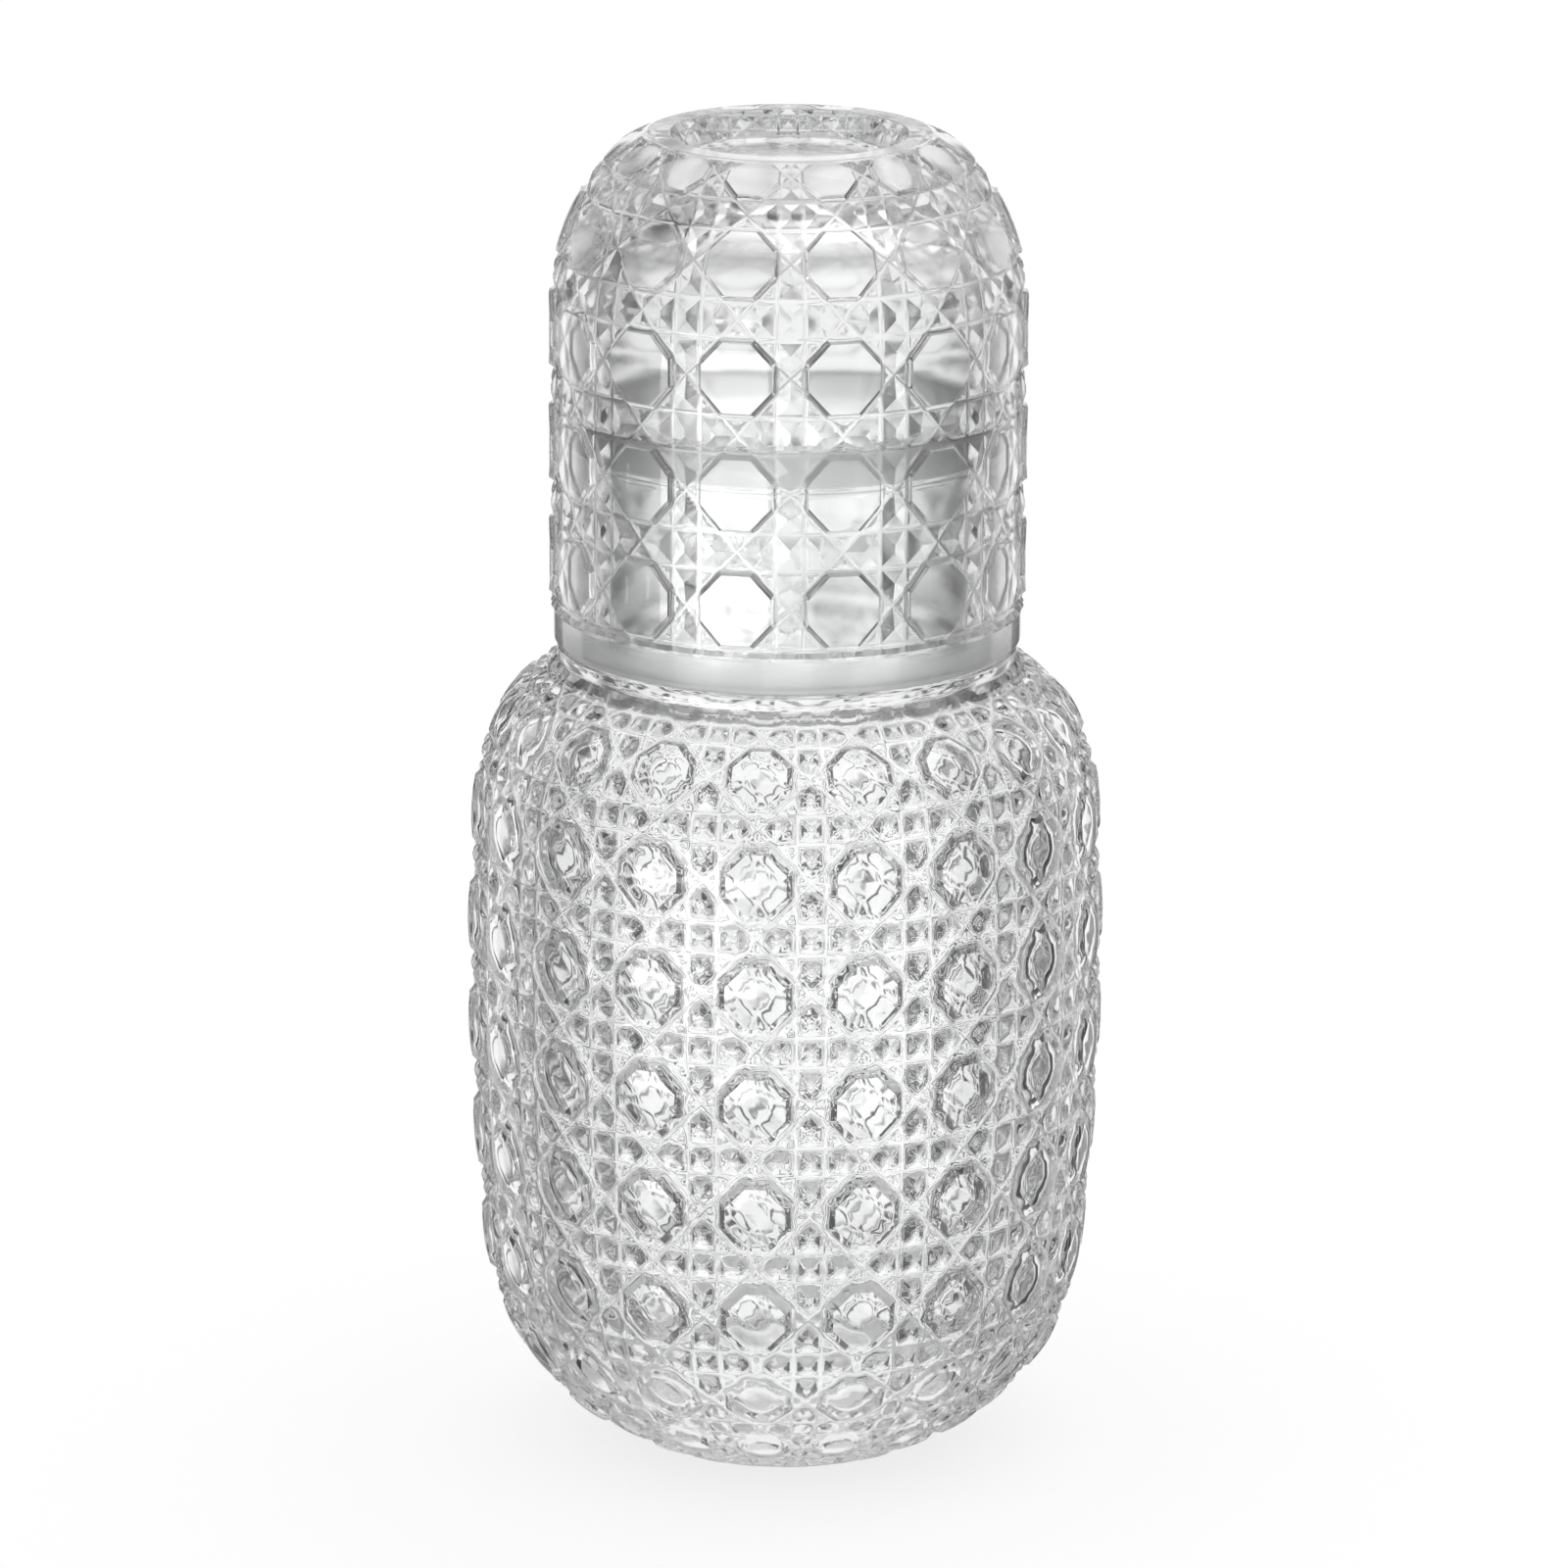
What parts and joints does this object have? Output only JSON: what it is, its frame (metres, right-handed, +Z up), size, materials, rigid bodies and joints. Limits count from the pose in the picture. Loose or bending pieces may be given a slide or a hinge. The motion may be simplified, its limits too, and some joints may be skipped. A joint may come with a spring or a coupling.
{
  "type": "glass carafe with tumbler",
  "caption": "Clear glass water carafe with a barrel body and a matching tumbler turned over its neck as a lid, both with a traditional cane-cut relief.",
  "frame": {"origin": "centre of the carafe's flat base, on the surface that it stands on", "axes": "+Z up along the turning axis of both pieces; X and Y are any two directions across it"},
  "size_m": [0.1004, 0.1004, 0.209],
  "materials": {
    "carafe_glass": "clear, soft cane relief",
    "tumbler_glass": "clear, sharp cane relief"
  },
  "bodies": {
    "carafe": {"carafe": "carafe_glass"},
    "tumbler": {"tumbler": "tumbler_glass"}
  },
  "joints": [
    {"name": "tumbler_lift", "type": "slide", "parent": "carafe", "child": "tumbler", "axis": [0, 0, 1], "range_m": [0, 0.05]}
  ]
}
